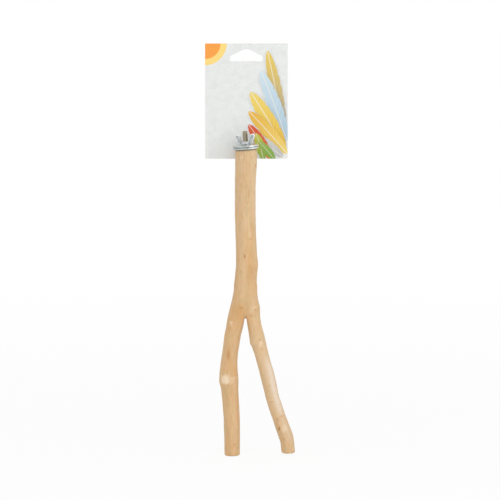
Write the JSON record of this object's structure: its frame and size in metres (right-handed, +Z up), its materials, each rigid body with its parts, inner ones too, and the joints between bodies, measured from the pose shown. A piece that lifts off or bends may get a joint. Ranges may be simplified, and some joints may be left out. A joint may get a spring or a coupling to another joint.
{
  "type": "bird perch",
  "caption": "Forked natural-wood bird perch with a threaded stud, washers and wing nut that clamp it to cage bars, and a folded retail hang card gripped in the clamp.",
  "frame": {"origin": "on the stud axis, at the clamp plane: the upper face of the washer that bears on the wood, where cage wires are gripped", "axes": "+Z up along the trunk, away from the wood and towards the wing nut; +X to the right seen from the front; +Y towards the back, where the card stands. The stud leans 4.5 degrees from +Z towards -X, square to the sawn end"},
  "size_m": [0.0877, 0.026, 0.4015],
  "materials": {
    "peeled_wood": "bare peeled wood, lightly sanded",
    "stud_steel": "yellow-passivated zinc, satin",
    "zinc_steel": "bright zinc plate, satin",
    "card": "coated board with a satin print"
  },
  "bodies": {
    "perch": {"forked_branch": "peeled_wood", "hanger_bolt": "stud_steel", "inner_washer": "zinc_steel"},
    "clamp_washer": {"outer_washer": "zinc_steel"},
    "wing_nut": {"wing_nut": "zinc_steel"},
    "hang_card": {"hang_card": "card"}
  },
  "joints": [
    {"name": "nut_travel", "type": "slide", "parent": "perch", "child": "clamp_washer", "axis": [-0.0785, 0, 0.9969], "range_m": [0, 0.008]},
    {"name": "nut_spin", "type": "hinge", "parent": "clamp_washer", "child": "wing_nut", "pos_m": [0, 0, 0], "axis": [-0.0785, 0, 0.9969], "range_deg": [0, 3600]},
    {"name": "card_swivel", "type": "hinge", "parent": "perch", "child": "hang_card", "pos_m": [0, 0, 0], "axis": [-0.0785, 0, 0.9969], "continuous": true}
  ],
  "couplings": [
    {"joint": "nut_spin", "follows": "nut_travel", "rad_per_m": 7854}
  ]
}
